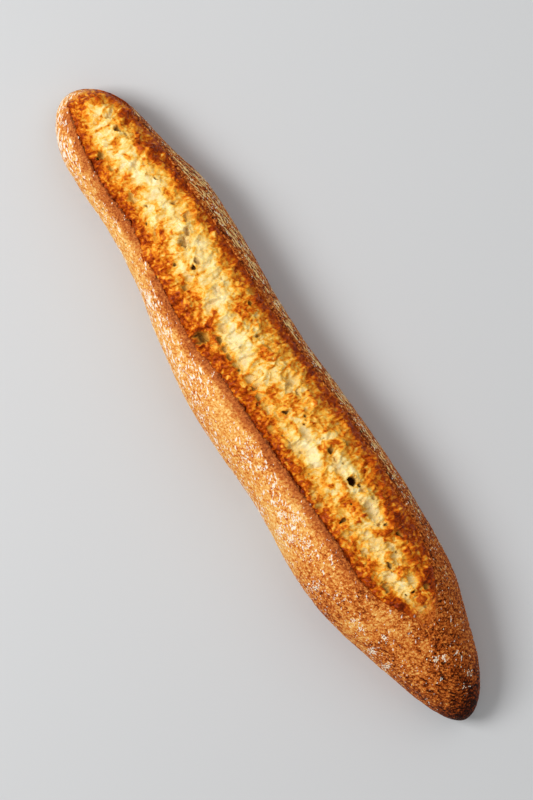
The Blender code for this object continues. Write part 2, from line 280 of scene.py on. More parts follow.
def line_through(points):
    """A smooth curve through the points, as a function of x."""
    xs, values = np.array(points, float).T
    slopes = np.gradient(values, xs)

    def at(x):
        x = np.asarray(x, float)
        i = np.clip(np.searchsorted(xs, x) - 1, 0, len(xs) - 2)
        step = xs[i + 1] - xs[i]
        t = np.clip((x - xs[i]) / step, 0, 1)
        ahead = t * t * (3 - 2 * t)
        bend = slopes[i] * t * (1 - t) ** 2 - slopes[i + 1] * t * t * (1 - t)
        return values[i] * (1 - ahead) + values[i + 1] * ahead + bend * step

    return at


def ramp(x, start, end):
    """0 at start, easing to 1 at end; start may be the larger."""
    t = np.clip((np.asarray(x, float) - start) / (end - start), 0, 1)
    return t * t * (3 - 2 * t)


class Noise:
    """Smooth noise in space, about -1 to 1, the same each run for a seed."""

    def __init__(self, seed):
        rng = np.random.default_rng(seed)
        self.order = rng.permutation(256)
        leans = rng.normal(size=(256, 3))
        self.leans = leans / np.linalg.norm(leans, axis=1)[:, None]

    def __call__(self, x, y, z=0.0):
        point = np.stack(np.broadcast_arrays(x, y, z), -1).astype(float)
        cell = np.floor(point).astype(int)
        inside = point - cell
        ease = inside**3 * (inside * (inside * 6 - 15) + 10)
        total = 0.0
        for corner in np.ndindex(2, 2, 2):
            key = self.order[(cell[..., 0] + corner[0]) & 255]
            key = self.order[(key + cell[..., 1] + corner[1]) & 255]
            key = self.order[(key + cell[..., 2] + corner[2]) & 255]
            away = inside - corner
            weight = np.prod(np.where(corner, ease, 1 - ease), axis=-1)
            total = total + weight * np.einsum("...k,...k->...", self.leans[key], away)
        return total * 1.6


class Cells:
    """Rounded cells strewn evenly over a plane.

    Gives the distances to the nearest two centres, and the nearest cell's own number, 0 to 1.
    """

    def __init__(self, seed):
        rng = np.random.default_rng(seed)
        self.order = rng.permutation(256)
        self.centres = rng.uniform(0.08, 0.92, (256, 2))
        self.numbers = rng.uniform(0, 1, 256)

    def __call__(self, x, y):
        x, y = np.broadcast_arrays(np.asarray(x, float), np.asarray(y, float))
        column, row = np.floor(x).astype(int), np.floor(y).astype(int)
        first = np.full(x.shape, 9.0)
        second = np.full(x.shape, 9.0)
        number = np.zeros(x.shape)
        for dx in (-1, 0, 1):
            for dy in (-1, 0, 1):
                key = self.order[(self.order[(column + dx) & 255] + row + dy) & 255]
                centre = self.centres[key]
                away = np.hypot(column + dx + centre[..., 0] - x, row + dy + centre[..., 1] - y)
                nearer = away < first
                second = np.where(nearer, first, np.minimum(second, away))
                number = np.where(nearer, self.numbers[key], number)
                first = np.where(nearer, away, first)
        return first, second, number


# ---- the loaf's sections ----

plus_side, minus_side, crown_line = map(line_through, (PLUS_SIDE, MINUS_SIDE, CROWN))
lip_edge, far_edge, lip_sharp = map(line_through, (LIP_EDGE, FAR_EDGE, LIP_SHARP))
mound_line, toast_line = map(line_through, (MOUND, TOAST))


def opening(x):
    """How open the burst is, 0 to 1."""
    return ramp(x, *BURST_STARTS) * (1 - ramp(x, *BURST_ENDS))


def lip_stands(x):
    """How far the lip's step shows: it eases out before the burst's two ends."""
    return ramp(x, *LIP_RISES) * (1 - ramp(x, *LIP_SINKS))


def far_stands(x):
    """The same for the far edge's step."""
    return ramp(x, *FAR_RISES) * (1 - ramp(x, *FAR_SINKS))


class Sections:
    """The loaf's cross-sections at each x, without the burst; each value is a column."""

    def __init__(self, x):
        x = np.asarray(x, float)[:, None]
        from_ends = (x + LENGTH / 2) / BLUNT_ROUND, (LENGTH / 2 - x) / NOSE_ROUND
        inside = np.minimum(np.minimum(*from_ends), 1)
        full = np.sqrt(1 - (1 - inside) ** 2)
        part = x / LENGTH + 0.5
        tip_y, tip_z = (a + (b - a) * part for a, b in zip(BLUNT_TIP, NOSE_TIP))
        self.x = x
        self.plus = tip_y + (plus_side(x) - tip_y) * full
        self.minus = tip_y + (minus_side(x) - tip_y) * full
        self.crown = tip_z + (crown_line(x) - tip_z) * full
        self.under = tip_z * (1 - full)
        self.middle = (self.plus + self.minus) / 2
        self.half = (self.plus - self.minus) / 2
        self.widest = self.under + WIDEST * (self.crown - self.under)
        self.lip = self.within(lip_edge(x))
        self.far = self.within(far_edge(x))
        self.squeeze = np.minimum(1, (self.far - self.lip) / (-2 * lip_edge(0)))
        self.open = opening(x)

    def top(self, y):
        across = np.minimum(np.abs(y - self.middle) / self.half, 1)
        return self.widest + (self.crown - self.widest) * np.sqrt(1 - across**CROWN_POWER)

    def within(self, y):
        reach = EDGE_LIMIT * self.half
        return np.clip(y, self.middle - reach, self.middle + reach)


def flank(s, side, count):
    """Rows of points round a flank, from the underside up to the widest line."""
    foot = s.middle + BASE * (side - s.middle)
    angle = (math.pi / 2 * np.arange(count) / count)[None, :]
    z = s.under + (s.widest - s.under) * (1 - np.cos(angle))
    return foot + (side - foot) * np.sin(angle), z


def skin(s, start, end, count):
    """Rows of points over the smooth top, from start up to but not at end."""
    a, b = (np.arcsin(np.clip((y - s.middle) / s.half, -1, 1)) for y in (start, end))
    angle = a + (b - a) * (np.arange(count) / count)[None, :]
    y = s.middle + s.half * np.sin(angle)
    return y, s.top(y)


def between(start, end, count):
    """Rows of evenly spaced points from start to end, without either."""
    return start + (end - start) * (np.arange(1, count + 1) / (count + 1))[None, :]


def edge_roll(s, edge, steps, count, roll):
    """A crust edge's rolled profile, as a smooth curve through its steps."""
    along = np.linspace(0, 1, len(steps))
    spots = np.linspace(0, 1, count)
    curves = (line_through(list(zip(along, values))) for values in zip(*steps))
    step, out, up = (curve(spots)[None, :] for curve in curves)
    y = s.within(edge + step * s.squeeze)
    up = np.where(up > 0, up * roll, up * s.open)
    return y + out * roll, s.top(y) + up


def normals_of(points, closed):
    """Unit normals of a grid of points; closed says that each row is a loop."""
    if closed:
        across = np.roll(points, -1, axis=1) - np.roll(points, 1, axis=1)
    else:
        across = np.gradient(points, axis=1)
    along = np.gradient(points, axis=0)
    normal = np.cross(along, across)
    return normal / np.maximum(np.linalg.norm(normal, axis=2), 1e-9)[..., None]


# ---- pieces from grids of points ----

def place(points):
    """Moves points from the loaf's own axes, in millimetres, into the frame, in metres."""
    low, high = (np.array(corner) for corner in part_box("baguette"))
    x = np.linspace(-LENGTH / 2 + CUT_TIP, LENGTH / 2 - CUT_TIP, 400)
    s = Sections(x)
    own_low = np.array([x[0], s.minus.min(), 0])
    own_high = np.array([x[-1], s.plus.max(), 1])
    scale = np.array([*((high - low) / (own_high - own_low))[:2], MM])
    return (points - own_low) * scale + low


def tube(name, points, fields, material):
    """A closed piece from rings of points, with a value field for each name in fields."""
    rows, columns = points.shape[:2]
    index = np.arange(rows * columns).reshape(rows, columns)
    here, ahead = index[:-1], index[1:]
    quads = np.stack([here, ahead, np.roll(ahead, -1, 1), np.roll(here, -1, 1)], -1).reshape(-1, 4)
    faces = quads.tolist() + [index[0].tolist(), index[-1][::-1].tolist()]
    mesh = bpy.data.meshes.new(name)
    mesh.from_pydata(place(points.reshape(-1, 3)).tolist(), [], faces)
    for field, values in fields.items():
        attribute = mesh.attributes.new(field, "FLOAT", "POINT")
        attribute.data.foreach_set("value", np.ascontiguousarray(values, np.float32).ravel())
    bm = bmesh.new()
    bm.from_mesh(mesh)
    bmesh.ops.triangulate(bm, faces=[face for face in bm.faces if len(face.verts) > 4])
    bmesh.ops.recalc_face_normals(bm, faces=bm.faces)
    bm.to_mesh(mesh)
    bm.free()
    mesh.shade_smooth()
    mesh.materials.append(material)
    piece = bpy.data.objects.new(name, mesh)
    bpy.context.collection.objects.link(piece)
    return piece


def stand_for_loaf(piece):
    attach(piece, "root")
    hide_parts("baguette")


# ---- crust ----

def shell_points(s, rough):
    """Rings of points round the loaf, from the foot of the -Y flank over the top and back below.

    Between the lip and the far edge the ring dips into a trough, where the crumb lies.
    """
    ragged = (0.9 * rough(s.x / 4.5, 3.1) + 0.8 * rough(s.x / 1.7, 8.2)) * s.open
    swell = 1 + 0.5 * rough(s.x / 13, 5.5) + 0.3 * rough(s.x / 4, 6.5)
    lip_roll = lip_stands(s.x) * (0.35 + 0.65 * lip_sharp(s.x)) * swell
    far_roll = far_stands(s.x) * swell
    lip_start = s.within(s.lip + LIP_STEPS[0][0] * s.squeeze)
    far_start = s.within(s.far + FAR_STEPS[-1][0] * s.squeeze)
    lip = edge_roll(s, s.lip + ragged, LIP_STEPS, LIP_COLUMNS, lip_roll)
    far = edge_roll(s, s.far + ragged * 0.6, FAR_STEPS, FAR_COLUMNS, far_roll)
    trough_y = between(lip[0][:, -1:], far[0][:, :1], TROUGH_COLUMNS)
    parts = [
        flank(s, s.minus, FLANK_COLUMNS),
        skin(s, s.minus, lip_start, SKIN_COLUMNS),
        lip,
        (trough_y, s.top(trough_y) - TROUGH * s.open),
        far,
        [part[:, 1:] for part in skin(s, far_start, s.plus, FAR_SKIN_COLUMNS)],
        (s.plus, s.widest),
        [part[:, ::-1] for part in flank(s, s.plus, FLANK_COLUMNS)],
    ]
    under_y = between(parts[-1][0][:, -1:], parts[0][0][:, :1], UNDER_COLUMNS)
    parts.append((under_y, np.broadcast_to(s.under, under_y.shape)))
    y, z = (np.concatenate([part[axis] for part in parts], 1) for axis in (0, 1))
    return np.stack([np.broadcast_to(s.x, y.shape), y, z], -1)


def crust(material):
    """The baked shell all round the loaf."""
    reach = LENGTH / 2 - CUT_TIP
    evenly = np.linspace(-1, 1, STATIONS)
    s = Sections(reach * (0.9 * evenly + 0.1 * np.sin(evenly * math.pi / 2)))
    rough = Noise(SEED)
    points = shell_points(s, rough)
    bumps, pebble = crust_relief(s, points, rough)
    points = points + normals_of(points, True) * bumps[..., None]
    piece = tube("crust", points, crust_fields(s, points, pebble), material)
    stand_for_loaf(piece)
    return piece


def crust_relief(s, points, rough):
    """How far each point of the crust stands out, and the pebbled grain by itself, from 0 to 1."""
    x, y, z = np.moveaxis(points, -1, 0)
    steps = np.linalg.norm(np.diff(points, axis=1, prepend=points[:, :1]), axis=2)
    arc = np.cumsum(steps, axis=1)
    nose = ramp(x, 62, 140)
    sway = 0.5 * rough(x / 2.6, y / 2.6, z / 2.6)
    near, _, number = Cells(PEBBLE_SEED)(x / PEBBLE + sway, arc / PEBBLE - sway)
    blister, _, lift = Cells(BLISTER_SEED)(x / BLISTER - sway, arc / BLISTER + sway)
    pebble = (0.62 - near) * (0.55 + 0.9 * number)
    bumps = 0.35 * rough(x / 19, y / 13, z / 13) + 0.16 * rough(x / 6.5, y / 5, z / 5)
    bumps = bumps + (0.14 + 0.20 * nose) * pebble + 0.5 * nose * lift * (0.5 - blister)
    by_lip = ramp(s.lip - y, 5.0, 0.8) * ramp(s.lip - y, -2.5, -0.5) * lip_stands(x)
    crumbly = 0.45 * rough(x / 1.9, y / 1.9, z / 1.9) + 0.40 * rough(x, y, z)
    bumps = bumps + by_lip * crumbly
    tip = np.minimum(1, (LENGTH / 2 - np.abs(x)) / 6)
    return bumps * ramp(z, 0.3, 3.0) * tip, np.clip(0.5 + 1.1 * pebble - 0.25, 0, 1)


def bake_at(x, y, z, broad):
    """How brown the crust is, from 0 for pale gold to 1 for the dark tip."""
    patchy = broad(x / 23, y / 15, z / 15)
    fine = broad(x / 5, y / 4, z / 4)
    bake = 0.20 + 0.10 * patchy + 0.08 * fine + 0.03 * ramp(x, -50, -15) * ramp(x, 45, 20)
    bake = bake + ramp(x, 55, 112) * 0.235 + ramp(x, 120, 178) * 0.02 + ramp(x, 156, 194) * 0.27
    return bake + ramp(x, 60, 130) * (0.10 * patchy + 0.12 * fine) + ramp(x, 184, 199) * 0.24


def lip_band(s, x, y, fine, broad):
    """The reddish band along the lip, which fades towards the nose and over the bridge."""
    from_lip = s.lip - y + 1.6 * fine + 0.8 * broad(x / 1.8, y / 2.5, 4.2)
    bridge = 0.25 + 0.75 * ramp(np.abs(x + 100), 2, 14)
    lip = ramp(from_lip, 7.4, 1.4) * ramp(from_lip, -4, 0) * bridge
    return lip * (1 - 0.6 * ramp(x, 70, 115)) * lip_stands(x)


def flour_amount(s, x, y, z, patchy, fine, lip):
    """How thick the flecks of flour lie: thickest on the -Y side, with single clots."""
    minus = ramp(y, s.middle + 1, s.middle - 1)
    nose = ramp(x, 62, 132)
    flour = minus * (0.66 + 0.28 * patchy + 0.2 * fine) * (1 - 0.35 * nose) * (1 - 0.75 * lip)
    more = 0.14 * ramp(x, -100, -80) * ramp(x, -20, -50) + 0.16 * ramp(x, -150, -178)
    flour = flour + more * minus * (1 - lip)
    powder = minus * ramp(z, 30, 12) * ramp(x, 5, 40) * (1 - ramp(x, 92, 118))
    powder = powder + 0.35 * minus * ramp(x, -120, -185)
    flour = flour + 0.30 * powder + (1 - minus) * (0.40 + 0.3 * fine) * (1 - 0.2 * nose)
    bare_edge = far_stands(x) * ramp(y - s.far, 2.2, 0.8) * ramp(y - s.far, -3, -1)
    flour = flour * (1 - bare_edge) * ramp(x, 196, 176)
    return np.maximum(flour, clots_at(x, y, z, Noise(FLOUR_SEED)))


def dash_amount(s, x, y, z, patchy, fine, far_side):
    """How thick the streaks of flour lie on the +Y side."""
    dashes = far_side * (0.95 + 0.3 * patchy + 0.25 * fine)
    dashes = dashes * (1 - 0.45 * ramp(x, 45, 100)) * ramp(x, -186, -172)
    dashes = dashes * (1 - 0.6 * ramp(x, 120, 150)) * ramp(y - s.far, 0.2, 2.4)
    return dashes * (0.45 + 0.55 * ramp(z, 10, 28))


def crust_fields(s, points, pebble):
    """Values for the crust's material, and the dusting that strews its grains of flour."""
    x, y, z = np.moveaxis(points, -1, 0)
    broad = Noise(BAKE_SEED)
    patchy = broad(x / 23, y / 15, z / 15)
    fine = broad(x / 6, y / 5, z / 5)
    far_side = ramp(y - s.far + 0.8 * fine, -1.5, 1.0)
    far_side = far_side + (ramp(y - s.middle, 4, 16) - far_side) * ramp(x, 122, 142)
    bake = bake_at(x, y, z, broad)
    far_bake = np.maximum(bake, 0.56 + 0.10 * patchy + 0.08 * fine)
    rim = ramp(y - s.far, 1.6, 0.2) * ramp(y - s.far, -3, -1) * far_stands(x)
    bake = bake + (far_bake - bake) * far_side + 0.12 * rim
    inside = ramp(y - s.lip, -0.8, 0.4) * ramp(s.far - y, -0.8, 0.4) * s.open
    bake = bake + (0.5 - bake) * inside
    lip = lip_band(s, x, y, fine, broad)
    flour = flour_amount(s, x, y, z, patchy, fine, lip)
    dashes = dash_amount(s, x, y, z, patchy, fine, far_side)
    dusting = dusting_at(x, y, z, flour, dashes, far_side)
    return {
        "bake": np.clip(bake, 0, 1),
        "grain": pebble,
        "lip": lip,
        "flour": np.clip(flour, 0, 1.25) * (1 - inside),
        "dashes": np.clip(dashes, 0, 1.1),
        "under": ramp(z, 2.5, 0.4),
        "dusting": dusting * (1 - inside) * ramp(z, 1.5, 4),
    }


def dusting_at(x, y, z, flour, dashes, far_side):
    """Where grains of flour lie: slanting flecks on the -Y side, streaks along the far side."""
    spots = Noise(FLOUR_SEED)
    along, aside = 0.72 * x - 0.45 * (y + z), 0.62 * x + 0.5 * (y + z)
    long = spots(along / 3.2, aside / 1.4, z / 9)
    flecks = long + (spots(along / 1.6, aside / 1.4, z / 9 + 3) - long) * ramp(x, -40, 10)
    flecks = flecks + 0.45 * spots(x / 8, y / 8, z / 8 + 5)
    streaks = spots(x / 4.5, y / 1.2, z / 1.2 + 9) + 0.3 * spots(x / 9, y / 9, z / 9 + 5)
    near_side = ramp(flecks, 0.60 - 0.25 * flour, 0.80 - 0.25 * flour) * np.clip(flour * 1.5, 0, 1)
    near_side = near_side * (1 - 0.7 * ramp(x, 70, 120)) + clots_at(x, y, z, spots)
    streaks = ramp(streaks, 0.3, 0.5) * np.clip(dashes, 0, 1)
    return near_side * (1 - far_side) + streaks * far_side * 0.4


def clots_at(x, y, z, spots):
    """Single clots of flour with ragged edges, on the top only."""
    ragged = 1 + 0.9 * spots(x / 1.3, y / 1.3, z / 1.3) + 0.5 * spots(x / 0.8, y / 0.8, z / 0.8)
    clots = np.zeros_like(y)
    for cx, cy, reach in CLOTS:
        near = 0.85 * ramp(np.hypot(x - cx, y - cy) / reach * ragged, 1.3, 0.4)
        clots = np.maximum(clots, near * ramp(z, 8, 12))
    return clots


# ---- crumb ----

def distance_to_line(x, y, line):
    """The distance to a line through several points."""
    nearest = np.full(np.broadcast(x, y).shape, 1e9)
    for (ax, ay), (bx, by) in zip(line, line[1:]):
        run, rise = bx - ax, by - ay
        along = np.clip(((x - ax) * run + (y - ay) * rise) / (run**2 + rise**2), 0, 1)
        nearest = np.minimum(nearest, np.hypot(x - ax - along * run, y - ay - along * rise))
    return nearest


def small_cells(rough):
    """Small open cells, strewn in loose groups."""
    rng = np.random.default_rng(SMALL_CELL_SEED)
    made = []
    while len(made) < SMALL_CELLS:
        x, across = rng.uniform(*SMALL_CELLS_ALONG), rng.uniform(*SMALL_CELLS_ACROSS)
        y = float(lip_edge(x) + (far_edge(x) - lip_edge(x)) * across)
        size = 0.35 + 0.8 * rng.uniform() ** 3
        depth, inside = rng.uniform(0.5, 1.1), rng.uniform(0.05, 0.4)
        along, wide = rng.uniform(0.8, 1.5, 2)
        if float(rough(x / 9, y / 7, 31.5)) > rng.uniform(-0.2, 0.6):
            made.append((x, y, size * along, size * wide, size * depth, inside))
    return made


class Torn:
    """The torn surface between the crust's edges.

    height is over the mound, toast goes from 0 for cream to 1 for nearly black and also carries
    some painted shade and highlight, and dark is the shade painted into the cells. Each use of the
    noise has its own shift, which picks a different part of it.
    """

    def __init__(self, x, y, across):
        self.x, self.y, self.across = x, y, across
        self.rough = Noise(TORN_SEED)
        sway = 1.3 * self.rough(x / 7, y / 7, 1.5) + 0.6 * self.rough(x / 2.2, y / 2.2, 3.5)
        roam = 1.3 * self.rough(x / 7, y / 7, 11.5) + 0.6 * self.rough(x / 2.2, y / 2.2, 13.5)
        self.wx, self.wy = x + sway, y + roam
        self.height = np.zeros_like(y)
        self.dark = np.zeros_like(y)
        mottles = ramp(self.noise(5.0, 6.5, 40.0), 0.18, 0.60) * ramp(across, 0.2, 0.45)
        self.toast_and_shade = toast_line(across) + 0.08 * self.noise(9, 8, 2.2)
        self.raise_toast(0.33, mottles * 0.9)

    def noise(self, wave_x, wave_y, shift):
        """Noise over the swayed surface, with waves of about these lengths."""
        return self.rough(self.wx / wave_x, self.wy / wave_y, shift)

    def raise_toast(self, level, amount):
        """Brings the toast up to a level, as far as amount says, and never down."""
        raised = np.maximum(self.toast_and_shade, level)
        self.toast_and_shade = self.toast_and_shade + (raised - self.toast_and_shade) * np.clip(amount, 0, 1)

    def add_patches(self):
        broken = 0.75 + 0.55 * self.noise(3.0, 3.2, 41.0) + 0.45 * self.noise(1.4, 1.5, 42.0)
        for cx, cy, along, wide, level in PATCHES:
            near = np.exp(-(((self.wx - cx) / along) ** 2 + ((self.wy - cy) / wide) ** 2) * 0.9)
            self.raise_toast(level, near * 1.7 * broken)

    def spare_pale(self):
        for cx, cy, along, wide in PALE:
            near = np.exp(-(((self.wx - cx) / along) ** 2 + ((self.wy - cy) / wide) ** 2))
            self.toast_and_shade = self.toast_and_shade * (1 - 0.75 * near)

    def add_walls(self):
        """Hollow cells of two sizes, with raised walls between them that caught the heat."""
        open_walls = np.clip(0.35 + 0.9 * self.noise(8, 9, 43.0), 0, 1)
        large = (7.5, 9.5, 2.0, LARGE_WALL_SEED, 0.12)
        small = (3.3, 3.8, 0.60, SMALL_WALL_SEED, 0.07)
        for along, wide, deep, seed, toasted in (large, small):
            cells = Cells(seed)
            first, second, number = cells(self.wx / along, self.wy / wide)
            # Painted shade: an olive tint over the -Y half of some pale cells, the wall that a lamp
            # from -Y leaves in shade.
            shade, _, _ = cells(self.wx / along, self.wy / wide + 0.24)
            shade = ramp(shade, 0.5, 0.1) * ramp(number, 0.35, 0.6) * ramp(self.toast_and_shade, 0.4, 0.2)
            self.dark = np.maximum(self.dark, 0.09 * deep * shade)
            wall = np.exp(-(((second - first) / 0.13) ** 2)) * open_walls
            bowl = deep * (0.6 + 0.6 * number) * (1.7 * first**2 - 0.35)
            self.height += bowl + 0.22 * deep * wall
            self.toast_and_shade += toasted * wall * ramp(self.across, 0, 0.1) + 0.05 * (number - 0.5)

    def add_folds(self):
        """Billowed folds, and thin strands stretched across the pale parts that caught the heat."""
        pale = ramp(self.toast_and_shade, 0.5, 0.2)
        for wave_x, wave_y, tall, shift in ((8.0, 11.0, 1.5, 58.0), (3.4, 4.2, 0.8, 59.0)):
            billow = np.sqrt(np.abs(self.noise(wave_x, wave_y, shift)))
            self.height += tall * (billow - 0.5)
            # Painted shade: the creases between the folds are given a deeper colour.
            self.toast_and_shade += 0.14 * pale * np.clip(1 - 2.6 * billow, 0, 1)
        gate = np.clip(0.35 + 1.1 * self.noise(8, 8, 60.0), 0, 1)
        for wave_x, wave_y, thin, shift in ((6.5, 12.0, 9.0, 56.0), (3.8, 7.5, 6.5, 57.0)):
            strand = np.clip(1 - np.abs(self.noise(wave_x, wave_y, shift)) * thin, 0, 1) * gate
            self.height += 0.30 * strand
            self.toast_and_shade += 0.17 * strand * (0.3 + 0.7 * pale)
        first, _, number = Cells(PORE_SEED)(self.wx / 1.5, self.wy / 1.6)
        self.height += pale * 0.32 * (first - 0.4) * (0.4 + number)
        # Painted shade: the middles of the small pores are a little darker.
        self.toast_and_shade += pale * 0.06 * (0.5 - number) + 0.05 * pale * (0.45 - first)

    def add_crags(self):
        """Fine beads and crags where it is toasted, and thin fibres where it is pale."""
        harsh = ramp(self.toast_and_shade, 0.28, 0.62)
        first, second, number = Cells(BEAD_SEED)(self.wx / 1.75, self.wy / 1.75)
        bead = 0.5 - first
        self.height += harsh * (0.50 * bead + 0.35 * self.noise(1.3, 2.2, 44.0))
        flake, beside, tone = Cells(FLAKE_SEED)(self.wx / 2.1, self.wy / 2.3)
        seam = np.exp(-(((beside - flake) / 0.16) ** 2))
        self.height += harsh * 0.45 * (0.55 - flake)
        flaked = 0.32 * (tone - 0.62) + 0.14 * seam
        # Painted highlight and shade: the bead tops are painted lighter and the seams between
        # flakes darker.
        self.toast_and_shade += harsh * (0.10 * (number - 0.5) - 0.20 * bead + flaked)
        crest = np.clip(1 - np.abs(self.noise(4.2, 5.5, 45.0)) * 2.4, 0, 1) ** 2
        self.height += 0.55 * crest * (0.25 + harsh)
        self.toast_and_shade += 0.14 * (crest - 0.25) * (0.2 + harsh)
        fibre = np.clip(1 - np.abs(self.noise(1.7, 6.0, 46.0)) * 3.0, 0, 1) ** 2
        self.height += 0.13 * fibre * (1 - harsh)
        self.toast_and_shade += 0.05 * fibre * (1 - harsh)

    def add_crests(self):
        broken = 0.72 + 0.75 * self.noise(1.6, 1.6, 47.0) + 0.4 * self.noise(3.5, 3.5, 48.0)
        broken = np.clip(broken, 0, 1)
        for wide, tall, level, *line in CRESTS:
            near = np.exp(-((distance_to_line(self.wx, self.wy, line) / (1.25 * wide)) ** 2))
            self.height += 0.7 * tall * near * (0.5 + 0.5 * broken)
            self.raise_toast(0.92 * level, near * broken)

    def add_mottle(self):
        fleck = 0.6 * self.noise(2.3, 2.3, 49.0) + 0.5 * self.noise(1.05, 1.05, 50.0)
        middling = np.clip((self.toast_and_shade - 0.10) * 3.0, 0.20, 1)
        self.toast_and_shade += 0.34 * fleck * middling + 0.05 * self.noise(4.5, 5.0, 51.0)
        self.toast_and_shade = np.minimum(self.toast_and_shade, 0.70 + 0.42 * (self.toast_and_shade - 0.70))
        self.height += self.rough(self.x / 1.2, self.y / 1.2, 9.9) * (0.05 + 0.07 * middling)

    def add_cell(self, cx, cy, along, wide, deep, inside):
        """Sinks one open cell, with painted shade inside and a toasted rim."""
        reach = along * 2.5
        start, end = np.searchsorted(self.x[:, 0], (cx - reach, cx + reach))
        rows = slice(int(start), int(end))
        ex = self.x[rows] + 0.6 * (self.wx[rows] - self.x[rows])
        ey = self.y[rows] + 0.6 * (self.wy[rows] - self.y[rows])
        far = np.sqrt(((ex - cx) / along) ** 2 + ((ey - cy) / wide) ** 2)
        far = far * (1 + 0.50 * self.rough(ex / 1.9, ey / 1.9, 55.0))
        bowl = np.clip(1 - far**2, 0, 1)
        steep = bowl ** (0.5 if deep > 1.2 else 0.85)
        rim = np.exp(-(((far - 1.15) / 0.25) ** 2))
        self.height[rows] += 0.16 * deep * rim - 1.25 * deep * steep
        # The painted shade is heavier on the cell's -Y side, the wall the key lamp leaves in shade;
        # the deepest cells are painted dark all over.
        shaded = 0.55 + 0.6 * ramp(cy - ey, -1.2 * wide, 0.9 * wide)
        shaded = np.maximum(shaded, 1.2 * (inside > 0.85))
        shade = 1.15 * inside * shaded * np.clip(bowl * 2.0, 0, 1)
        self.dark[rows] = np.maximum(self.dark[rows], shade)
        paled = 0.6 * bowl * (1 - 0.4 * inside) * self.toast_and_shade[rows]
        self.toast_and_shade[rows] += 0.12 * rim * inside - paled

    def add_edges(self):
        """The crevice beside the lip, deep and dark only in stretches, and the seared far edge.

        The dark of both is partly toasting and partly painted shade.
        """
        stretches = np.clip(0.7 + 1.5 * self.rough(self.x / 4.5, 3.3, 52.0), 0, 1.3)
        lip = ramp(self.across, 0.07, 0.01) * lip_sharp(self.x) * stretches * lip_stands(self.x)
        seared_from = 0.93 - 0.035 * ramp(self.x, -90, -40)
        far = ramp(self.across, seared_from, seared_from + 0.055) * far_stands(self.x)
        far = far * (1 - 0.8 * ramp(self.x, 35, 65))
        flakes = np.clip(self.noise(1.5, 1.6, 63.0), 0, 1) * ramp(self.across, 0.09, 0.03)
        self.height += 1.3 * flakes * lip_stands(self.x) - 1.6 * lip
        # Partly painted shade: the dark lines in the crevice and under the far crust's overhang.
        self.raise_toast(0.92, lip * (0.9 + 0.7 * self.noise(1.5, 1.5, 53.0)))
        self.raise_toast(0.82, far * (0.75 + 0.8 * self.noise(1.8, 1.8, 54.0)))


def tear(x, y, across):
    """The whole torn surface, from its broad forms down to its pores."""
    torn = Torn(x, y, across)
    torn.toast_and_shade += 0.16 * ramp(x, -180, -195) + 0.25 * ramp(x, 120, 146)
    torn.add_patches()
    torn.add_walls()
    torn.add_folds()
    torn.spare_pale()
    torn.add_crags()
    torn.add_crests()
    torn.add_edges()
    torn.add_mottle()
    for cell in (*HOLLOWS, *CELLS, *small_cells(torn.rough)):
        torn.add_cell(*cell)
    return torn


def torn_points(s, torn):
    """The mound over the smooth loaf, with the torn relief standing out from it."""
    x, y, across = torn.x, torn.y, torn.across
    flush = MOUND[0][1] * (1 - lip_stands(s.x)) * ramp(across, 0.4, 0)
    flush = flush + MOUND[-1][1] * (1 - far_stands(s.x)) * ramp(across, 0.75, 1)
    z = s.top(s.within(y)) + (mound_line(across) - flush) * s.open
    points = np.stack([x, y, z], -1)
    settle = s.open * ramp(across, -0.02, 0.03) * ramp(across, 1.0, 0.96)
    ends = 1.6 * ramp(x, 141, CRUMB_TO) + 1.4 * ramp(x, -195.5, CRUMB_FROM)
    lift = torn.height * np.maximum(settle, 0.25 * s.open) - ends
    lean = [0.45 * torn.rough(x / 3, y / 3, shift) for shift in (20.2, 22.2)]
    lean = np.stack([*lean, 0 * y], -1) * settle[..., None]
    return points + normals_of(points, False) * lift[..., None] + lean


def hidden_floor(s, start, end):
    """The crumb's closed underside, inside the crust."""
    y = start + (end - start) * np.array(FLOOR_PARTS)[None, :]
    added, least = FLOOR_DEPTH
    z = s.top(s.within(y)) - added * s.open - least
    return np.stack([np.broadcast_to(s.x, y.shape), y, z], -1)


def crumb_fields(torn, points):
    """Values for the crumb's material, with plain ones for its hidden floor."""
    x, y = torn.x, torn.y
    wander = 4.0 * torn.rough(x / 6, y / 5, 61.0) + 2.0 * torn.rough(x / 2, y / 2, 62.0)
    crusty = ramp(x + wander, 126, 145) + ramp(x + 0.4 * wander, -193.5, -197.0)
    bake = bake_at(*np.moveaxis(points, -1, 0), Noise(BAKE_SEED))
    pad = ((0, 0), (0, len(FLOOR_PARTS)))
    return {
        "toast_and_shade": np.pad(np.clip(torn.toast_and_shade, 0, 1), pad, constant_values=0.6),
        "dark": np.pad(torn.dark, pad, constant_values=0.5),
        "crusty": np.pad(np.clip(crusty, 0, 1), pad),
        "bake": np.pad(np.clip(bake, 0, 1), pad),
    }


def crumb(material):
    """The torn crumb that fills the burst, its sides tucked under the crust's edges."""
    count = int((CRUMB_TO - CRUMB_FROM) / CRUMB_STEP)
    s = Sections(np.linspace(CRUMB_FROM, CRUMB_TO, count))
    start = s.lip - UNDER_LIP * s.squeeze
    end = s.far + UNDER_FAR * s.squeeze
    y = start + (end - start) * np.linspace(0, 1, CRUMB_ACROSS)[None, :]
    across = np.clip((y - s.lip) / (s.far - s.lip), 0, 1)
    torn = tear(np.broadcast_to(s.x, y.shape), y, across)
    points = torn_points(s, torn)
    rings = np.concatenate([points, hidden_floor(s, start, end)], 1)
    piece = tube("crumb", rings, crumb_fields(torn, points), material)
    stand_for_loaf(piece)
    return piece


# ---- flour ----

